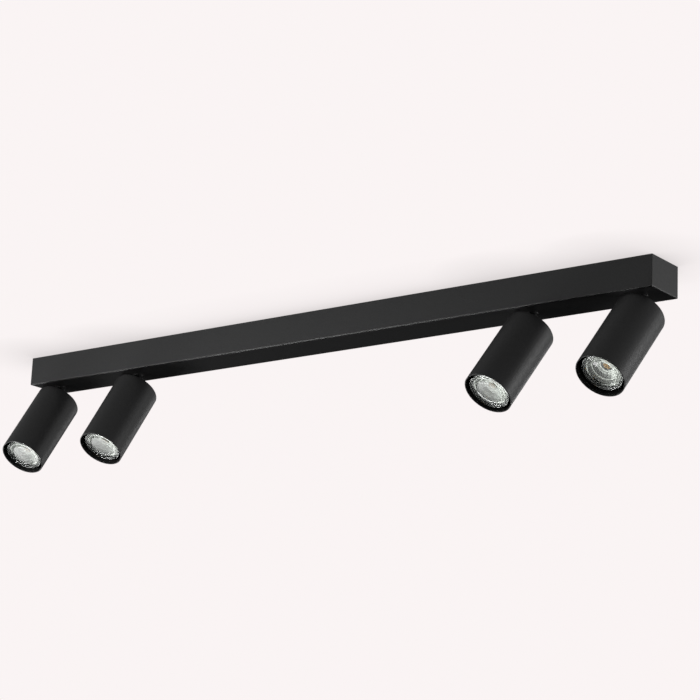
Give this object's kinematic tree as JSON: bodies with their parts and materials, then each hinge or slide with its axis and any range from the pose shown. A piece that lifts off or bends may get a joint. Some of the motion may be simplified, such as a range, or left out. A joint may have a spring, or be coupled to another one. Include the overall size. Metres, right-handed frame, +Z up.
{
  "type": "ceiling spot bar",
  "caption": "Long black box canopy for a ceiling, with cylinder spots on swivel-and-tilt stems, each holding a twist-lock reflector lamp.",
  "frame": {"origin": "middle of the face that meets the ceiling", "axes": "+Z up into the ceiling, X along the bar, -Y towards the front"},
  "size_m": [1.0004, 0.1252, 0.1705],
  "materials": {
    "canopy_coat": "semi-matte black powder coat",
    "can_coat": "satin black powder coat",
    "stem_coat": "satin black coat",
    "black_screw": "black oxide",
    "zinc_steel": "zinc plated",
    "spring_steel": "plain steel",
    "brass": "turned",
    "nylon": "moulded nylon",
    "black_nylon": "moulded nylon",
    "rubber": "matte",
    "cable_sheath": "smooth sheath",
    "silicone_lead": "silicone",
    "ceramic": "unglazed ceramic",
    "lamp_shell": "metallised reflector and white shell",
    "lamp_glass": "clear, polished",
    "led_phosphor": "yellow phosphor"
  },
  "bodies": {
    "canopy": {"canopy_housing": "canopy_coat", "ceiling_bracket": "zinc_steel", "canopy_screws": "black_screw", "bracket_screws": "zinc_steel", "terminal_block": "nylon", "terminal_screws": "brass", "cable_grommet": "rubber", "cord_clamp": "nylon", "internal_wiring": "cable_sheath", "stop_pegs": "zinc_steel", "glide_washers": "black_nylon", "spring_washers": "spring_steel"},
    "swivel_1": {"swivel_stem_1": "stem_coat", "stem_locknut_1": "brass", "stop_washer_1": "spring_steel"},
    "head_1": {"spot_can_1": "can_coat", "hinge_bracket_1": "stem_coat", "head_screws_1": "black_screw", "lamp_bridge_1": "zinc_steel", "lampholder_1": "ceramic", "head_wires_1": "silicone_lead"},
    "lamp_1": {"lamp_body_1": "lamp_shell", "lamp_lens_1": "lamp_glass", "led_chip_1": "led_phosphor"},
    "swivel_2": {"swivel_stem_2": "stem_coat", "stem_locknut_2": "brass", "stop_washer_2": "spring_steel"},
    "head_2": {"spot_can_2": "can_coat", "hinge_bracket_2": "stem_coat", "head_screws_2": "black_screw", "lamp_bridge_2": "zinc_steel", "lampholder_2": "ceramic", "head_wires_2": "silicone_lead"},
    "lamp_2": {"lamp_body_2": "lamp_shell", "lamp_lens_2": "lamp_glass", "led_chip_2": "led_phosphor"},
    "swivel_3": {"swivel_stem_3": "stem_coat", "stem_locknut_3": "brass", "stop_washer_3": "spring_steel"},
    "head_3": {"spot_can_3": "can_coat", "hinge_bracket_3": "stem_coat", "head_screws_3": "black_screw", "lamp_bridge_3": "zinc_steel", "lampholder_3": "ceramic", "head_wires_3": "silicone_lead"},
    "lamp_3": {"lamp_body_3": "lamp_shell", "lamp_lens_3": "lamp_glass", "led_chip_3": "led_phosphor"},
    "swivel_4": {"swivel_stem_4": "stem_coat", "stem_locknut_4": "brass", "stop_washer_4": "spring_steel"},
    "head_4": {"spot_can_4": "can_coat", "hinge_bracket_4": "stem_coat", "head_screws_4": "black_screw", "lamp_bridge_4": "zinc_steel", "lampholder_4": "ceramic", "head_wires_4": "silicone_lead"},
    "lamp_4": {"lamp_body_4": "lamp_shell", "lamp_lens_4": "lamp_glass", "led_chip_4": "led_phosphor"}
  },
  "joints": [
    {"name": "pan_1", "type": "hinge", "parent": "canopy", "child": "swivel_1", "pos_m": [-0.47, 0, -0.039], "axis": [0, 0, 1], "range_deg": [-172, 168]},
    {"name": "tilt_1", "type": "hinge", "parent": "swivel_1", "child": "head_1", "pos_m": [-0.47, 0, -0.057], "axis": [-0.9994, -0.0349, 0], "range_deg": [-73.7, 6.3]},
    {"name": "lamp_twist_1", "type": "hinge", "parent": "head_1", "child": "lamp_1", "pos_m": [-0.46884, -0.03327, -0.10692], "axis": [0.0194, -0.5545, -0.832], "range_deg": [0, 18]},
    {"name": "pan_2", "type": "hinge", "parent": "canopy", "child": "swivel_2", "pos_m": [-0.32, 0, -0.039], "axis": [0, 0, 1], "range_deg": [-168.1, 171.9]},
    {"name": "tilt_2", "type": "hinge", "parent": "swivel_2", "child": "head_2", "pos_m": [-0.32, 0, -0.057], "axis": [-0.9995, 0.0332, 0], "range_deg": [-72.1, 7.9]},
    {"name": "lamp_twist_2", "type": "hinge", "parent": "head_2", "child": "lamp_2", "pos_m": [-0.32106, -0.03187, -0.10783], "axis": [-0.0176, -0.5311, -0.8471], "range_deg": [0, 18]},
    {"name": "pan_3", "type": "hinge", "parent": "canopy", "child": "swivel_3", "pos_m": [0.32, 0, -0.039], "axis": [0, 0, 1], "range_deg": [-155.9, 184.1]},
    {"name": "tilt_3", "type": "hinge", "parent": "swivel_3", "child": "head_3", "pos_m": [0.32, 0, -0.057], "axis": [-0.9699, 0.2436, 0], "range_deg": [-76, 4]},
    {"name": "lamp_twist_3", "type": "hinge", "parent": "head_3", "child": "lamp_3", "pos_m": [0.31141, -0.0342, -0.10554], "axis": [-0.1432, -0.5701, -0.809], "range_deg": [0, 18]},
    {"name": "pan_4", "type": "hinge", "parent": "canopy", "child": "swivel_4", "pos_m": [0.47, 0, -0.039], "axis": [0, 0, 1], "range_deg": [-159.1, 180.9]},
    {"name": "tilt_4", "type": "hinge", "parent": "swivel_4", "child": "head_4", "pos_m": [0.47, 0, -0.057], "axis": [-0.982, 0.1891, 0], "range_deg": [-77.5, 2.5]},
    {"name": "lamp_twist_4", "type": "hinge", "parent": "head_4", "child": "lamp_4", "pos_m": [0.46309, -0.03587, -0.1046], "axis": [-0.1151, -0.5978, -0.7934], "range_deg": [0, 18]}
  ]
}
